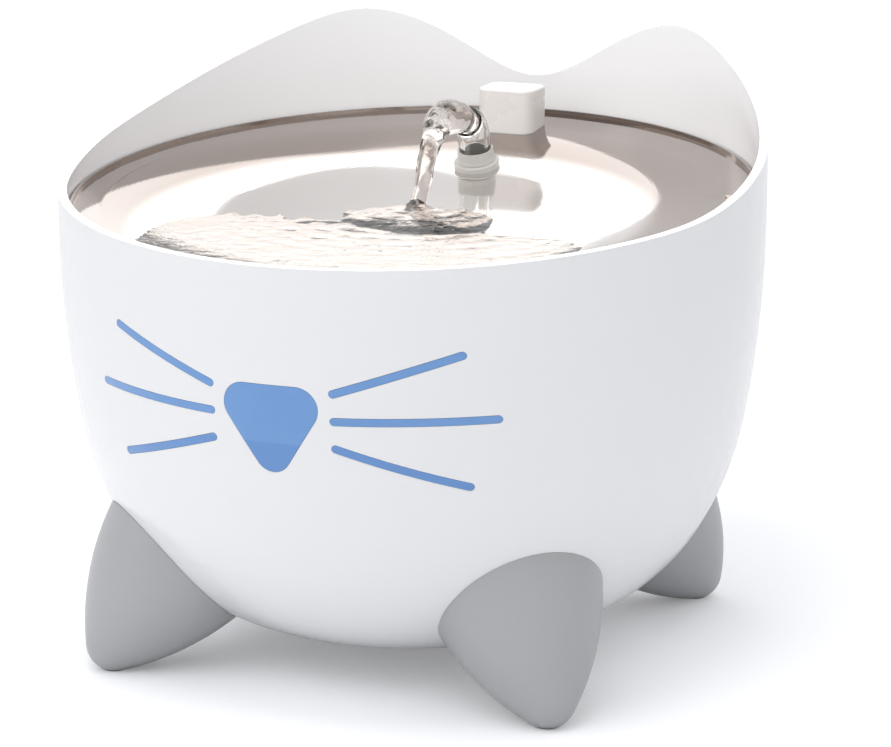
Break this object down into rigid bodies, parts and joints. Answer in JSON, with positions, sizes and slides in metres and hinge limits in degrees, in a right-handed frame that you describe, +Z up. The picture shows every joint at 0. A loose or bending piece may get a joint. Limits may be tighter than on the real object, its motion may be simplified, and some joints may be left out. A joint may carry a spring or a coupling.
{
  "type": "pet water fountain",
  "caption": "Round pet water fountain: cat-faced bowl on feet, eared rim ring, steel drinking dish, turning spout, lift knob, and a pump with its filter inside.",
  "frame": {"origin": "on the floor, under the middle of the bowl", "axes": "+Z up, -Y to the front with the face, +X to the viewer's right when the face is looked at"},
  "size_m": [0.26, 0.26, 0.2197],
  "materials": {
    "shell_white": "glossy moulded plastic",
    "window_blue": "tinted glossy plastic",
    "foot_grey": "satin moulded plastic",
    "rubber_dark": "soft rubber",
    "steel": "turned stainless steel",
    "dish_steel": "polished stainless steel",
    "silicone": "soft milky silicone",
    "grommet_beige": "soft pale silicone",
    "spout_clear": "clear moulded plastic",
    "knob_white": "satin gloss moulded plastic",
    "box_white": "glossy moulded plastic",
    "filter_white": "matt moulded plastic",
    "foam": "open foam",
    "carbon": "cloth bag of carbon grains",
    "pump_black": "matt moulded plastic",
    "impeller_white": "matt moulded plastic",
    "magnet": "ground ferrite",
    "core_iron": "stacked sheet iron",
    "coil_copper": "enamelled copper wire",
    "water": "still and falling water"
  },
  "bodies": {
    "base": {"reservoir_bowl": "shell_white", "nose_window": "window_blue", "whisker_left_upper": "window_blue", "whisker_left_middle": "window_blue", "whisker_left_lower": "window_blue", "whisker_right_upper": "window_blue", "whisker_right_middle": "window_blue", "whisker_right_lower": "window_blue", "foot_front_left": "foot_grey", "foot_front_right": "foot_grey", "foot_rear_right": "foot_grey", "foot_rear_left": "foot_grey", "foot_pads": "rubber_dark", "foot_screws": "steel", "cord_grommet": "silicone", "pump_box": "box_white", "pump_box_lid": "box_white", "suction_cups": "silicone", "pump_housing": "pump_black", "pump_cover": "pump_black", "pump_screws": "steel", "impeller_shaft": "steel", "shaft_bushes": "rubber_dark", "stator_core": "core_iron", "stator_coil": "coil_copper"},
    "ear_ring": {"ear_ring": "shell_white"},
    "dish": {"drinking_dish": "dish_steel", "dish_gasket": "silicone", "spout_grommet": "grommet_beige", "outlet_hose": "silicone", "lift_knob": "knob_white", "knob_gasket": "silicone", "knob_screws": "steel"},
    "spout": {"spout_elbow": "spout_clear", "spout_collar": "grommet_beige"},
    "filter": {"filter_frame": "filter_white", "foam_pad": "foam", "carbon_pad": "carbon"},
    "impeller": {"impeller": "impeller_white", "rotor_magnet": "magnet"},
    "flow_slider": {"flow_slider": "pump_black"}
  },
  "joints": [
    {"name": "ear_ring_lift", "type": "slide", "parent": "base", "child": "ear_ring", "axis": [0, 0, 1], "range_m": [0, 0.06]},
    {"name": "dish_lift", "type": "slide", "parent": "ear_ring", "child": "dish", "axis": [0, 0, 1], "range_m": [0, 0.06]},
    {"name": "spout_turn", "type": "hinge", "parent": "dish", "child": "spout", "pos_m": [0, 0.06399, 0.16821], "axis": [0, -0.2726, 0.9621], "range_deg": [-45, 45]},
    {"name": "filter_lift", "type": "slide", "parent": "base", "child": "filter", "axis": [0, 0, 1], "range_m": [0, 0.06]},
    {"name": "impeller_spin", "type": "hinge", "parent": "base", "child": "impeller", "pos_m": [0, 0.06917, 0.053], "axis": [0, 1, 0], "continuous": true},
    {"name": "flow_slide", "type": "slide", "parent": "base", "child": "flow_slider", "axis": [1, 0, 0], "range_m": [0, 0.0017]}
  ]
}
